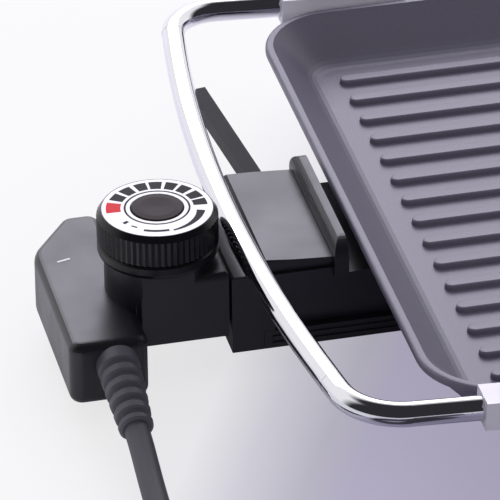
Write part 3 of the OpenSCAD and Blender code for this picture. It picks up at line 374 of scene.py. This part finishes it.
def makeFloor():
    # a pale floor with the pan's soft shadow painted round it in lavender, darker towards the right and the front;
    # the camera sees part of it as lit from below
    bm = bmesh.new()
    bmesh.ops.create_grid(bm, x_segments=1, y_segments=1, size=stageSet["size"] / 2)
    bmesh.ops.translate(bm, verts=bm.verts, vec=(0, 0, -stageSet["sink"]))
    mesh = bpy.data.meshes.new("paleTable")
    bm.to_mesh(mesh)
    bm.free()
    floor = bpy.data.objects.new("paleTable", mesh)
    bpy.context.collection.objects.link(floor)
    material, tree, shader = newMaterial("paleTable")
    coords = tree.nodes.new("ShaderNodeTexCoord")
    along = tree.nodes.new("ShaderNodeVectorMath")
    along.operation = "DOT_PRODUCT"
    along.inputs[1].default_value = stageSet["paintedShadowAlong"]
    # ramp of the painted shadow across the floor: white to the far left, darker lavender towards the right and the
    # front
    paintedShadowRamp = tree.nodes.new("ShaderNodeMapRange")
    paintedShadowRamp.inputs["From Min"].default_value = stageSet["paintedShadowFrom"]
    paintedShadowRamp.inputs["From Max"].default_value = stageSet["paintedShadowTo"]
    scaled = tree.nodes.new("ShaderNodeVectorMath")
    scaled.operation = "MULTIPLY"
    scaled.inputs[1].default_value = (1 / stageSet["paintedShadowPool"][0], 1 / stageSet["paintedShadowPool"][1], 0)
    reach = tree.nodes.new("ShaderNodeVectorMath")
    reach.operation = "LENGTH"
    # mask of the painted shadow: whole near the pan, gone far from it
    paintedShadowPool = tree.nodes.new("ShaderNodeMapRange")
    paintedShadowPool.interpolation_type = "SMOOTHSTEP"
    paintedShadowPool.inputs["From Min"].default_value = stageSet["paintedShadowPoolFade"][1]
    paintedShadowPool.inputs["From Max"].default_value = stageSet["paintedShadowPoolFade"][0]
    floorWithPaintedShadow = tree.nodes.new("ShaderNodeMix")
    floorWithPaintedShadow.data_type = "RGBA"
    floorWithPaintedShadow.inputs["A"].default_value = (*stageSet["floorAndShadowTones"][0][1], 1)
    tone = tree.nodes.new("ShaderNodeValToRGB")
    stops = tone.color_ramp.elements
    while len(stops) < len(stageSet["floorAndShadowTones"]):
        stops.new(0.5)
    for stop, (place, color) in zip(stops, stageSet["floorAndShadowTones"]):
        stop.position = place
        stop.color = (*color, 1)
    seen = tree.nodes.new("ShaderNodeLightPath")
    share = tree.nodes.new("ShaderNodeMath")
    share.operation = "MULTIPLY"
    share.inputs[1].default_value = stageSet["glow"]
    glow = tree.nodes.new("ShaderNodeEmission")
    blend = tree.nodes.new("ShaderNodeMixShader")
    out = tree.nodes["Material Output"]
    link = tree.links.new
    link(coords.outputs["Object"], along.inputs[0])
    link(along.outputs["Value"], paintedShadowRamp.inputs["Value"])
    link(coords.outputs["Object"], scaled.inputs[0])
    link(scaled.outputs["Vector"], reach.inputs[0])
    link(reach.outputs["Value"], paintedShadowPool.inputs["Value"])
    link(paintedShadowRamp.outputs["Result"], tone.inputs["Fac"])
    link(paintedShadowPool.outputs["Result"], floorWithPaintedShadow.inputs["Factor"])
    link(tone.outputs["Color"], floorWithPaintedShadow.inputs["B"])
    link(floorWithPaintedShadow.outputs["Result"], shader.inputs["Base Color"])
    link(floorWithPaintedShadow.outputs["Result"], glow.inputs["Color"])
    link(seen.outputs["Is Camera Ray"], share.inputs[0])
    link(share.outputs[0], blend.inputs["Fac"])
    link(shader.outputs[0], blend.inputs[1])
    link(glow.outputs[0], blend.inputs[2])
    link(blend.outputs[0], out.inputs["Surface"])
    shader.inputs["Roughness"].default_value = stageSet["rough"]
    mesh.materials.append(material)


skySet = {"fillColor": (0.95, 0.95, 1.0), "fillStrength": 0.7, "seenColor": (0.95, 0.95, 0.955),
          "dark": (0.03, 0.03, 0.035), "bright": (1.0, 1.0, 1.0), "bandFrom": -0.15, "bandTo": 0.25,
          "overheadFrom": 0.93, "overheadTo": 0.8}


def makeSky():
    # Dark overhead and in front, a broad white band behind, for what the chrome and gloss show
    world = bpy.data.worlds.new("studio")
    bpy.context.scene.world = world
    world.use_nodes = True
    tree = world.node_tree
    tree.nodes.clear()
    link = tree.links.new
    coords = tree.nodes.new("ShaderNodeTexCoord")
    split = tree.nodes.new("ShaderNodeSeparateXYZ")
    back = tree.nodes.new("ShaderNodeMapRange")
    back.inputs["From Min"].default_value = skySet["bandFrom"]
    back.inputs["From Max"].default_value = skySet["bandTo"]
    back.interpolation_type = "SMOOTHSTEP"
    high = tree.nodes.new("ShaderNodeMapRange")
    high.inputs["From Min"].default_value = skySet["overheadFrom"]
    high.inputs["From Max"].default_value = skySet["overheadTo"]
    high.interpolation_type = "SMOOTHSTEP"
    band = tree.nodes.new("ShaderNodeMath")
    band.operation = "MULTIPLY"
    tone = tree.nodes.new("ShaderNodeMix")
    tone.data_type = "RGBA"
    tone.inputs["A"].default_value = (*skySet["dark"], 1)
    tone.inputs["B"].default_value = (*skySet["bright"], 1)
    seen = tree.nodes.new("ShaderNodeLightPath")
    plain = tree.nodes.new("ShaderNodeBackground")
    plain.inputs["Color"].default_value = (*skySet["fillColor"], 1)
    plain.inputs["Strength"].default_value = skySet["fillStrength"]
    glossy = tree.nodes.new("ShaderNodeBackground")
    camera = tree.nodes.new("ShaderNodeBackground")
    camera.inputs["Color"].default_value = (*skySet["seenColor"], 1)
    mixGlossy = tree.nodes.new("ShaderNodeMixShader")
    mixCamera = tree.nodes.new("ShaderNodeMixShader")
    out = tree.nodes.new("ShaderNodeOutputWorld")
    link(coords.outputs["Generated"], split.inputs["Vector"])
    link(split.outputs["Y"], back.inputs["Value"])
    link(split.outputs["Z"], high.inputs["Value"])
    link(back.outputs["Result"], band.inputs[0])
    link(high.outputs["Result"], band.inputs[1])
    link(band.outputs[0], tone.inputs["Factor"])
    link(tone.outputs["Result"], glossy.inputs["Color"])
    link(seen.outputs["Is Glossy Ray"], mixGlossy.inputs["Fac"])
    link(plain.outputs[0], mixGlossy.inputs[1])
    link(glossy.outputs[0], mixGlossy.inputs[2])
    link(seen.outputs["Is Camera Ray"], mixCamera.inputs["Fac"])
    link(mixGlossy.outputs[0], mixCamera.inputs[1])
    link(camera.outputs[0], mixCamera.inputs[2])
    link(mixCamera.outputs[0], out.inputs["Surface"])


def makeLamp(name, lamp):
    data = bpy.data.lights.new(name, "AREA")
    data.shape = "RECTANGLE"
    data.size, data.size_y = lamp["size"]
    data.energy = lamp["power"]
    data.color = lamp["color"]
    made = bpy.data.objects.new(name, data)
    made.location = lamp["place"]
    made.rotation_euler = (Vector(lamp["aim"]) - Vector(lamp["place"])).to_track_quat("-Z", "Y").to_euler()
    made.visible_glossy = lamp["glossy"]
    bpy.context.collection.objects.link(made)


lampSet = {
    "backSoftbox": {"place": (0.1, 2.4, 1.6), "aim": (-0.1, 0, 0), "size": (2.8, 1.5), "power": 41,
                    "color": (1.0, 0.96, 1.14), "glossy": True},
}
cameraSet = {"place": (-0.56913, -1.6076, 1.02439), "right": (0.97341, -0.22886, -0.01026),
             "up": (0.12648, 0.49961, 0.85697), "lens": 393.2, "sensor": 36, "farClip": 50}


def makeCamera():
    data = bpy.data.cameras.new("photoCamera")
    data.lens = cameraSet["lens"]
    data.sensor_width = cameraSet["sensor"]
    data.clip_end = cameraSet["farClip"]
    camera = bpy.data.objects.new("photoCamera", data)
    bpy.context.collection.objects.link(camera)
    right = Vector(cameraSet["right"]).normalized()
    up = Vector(cameraSet["up"])
    back = right.cross(up).normalized()
    up = back.cross(right).normalized()
    camera.matrix_world = Matrix((
        (right.x, up.x, back.x, cameraSet["place"][0]), (right.y, up.y, back.y, cameraSet["place"][1]),
        (right.z, up.z, back.z, cameraSet["place"][2]), (0, 0, 0, 1)))
    bpy.context.scene.camera = camera


makeFloor()
makeSky()
for lampName, lamp in lampSet.items():
    makeLamp(lampName, lamp)
makeCamera()
bpy.context.scene.view_settings.view_transform = "Standard"
print("stage, lamps and camera set")
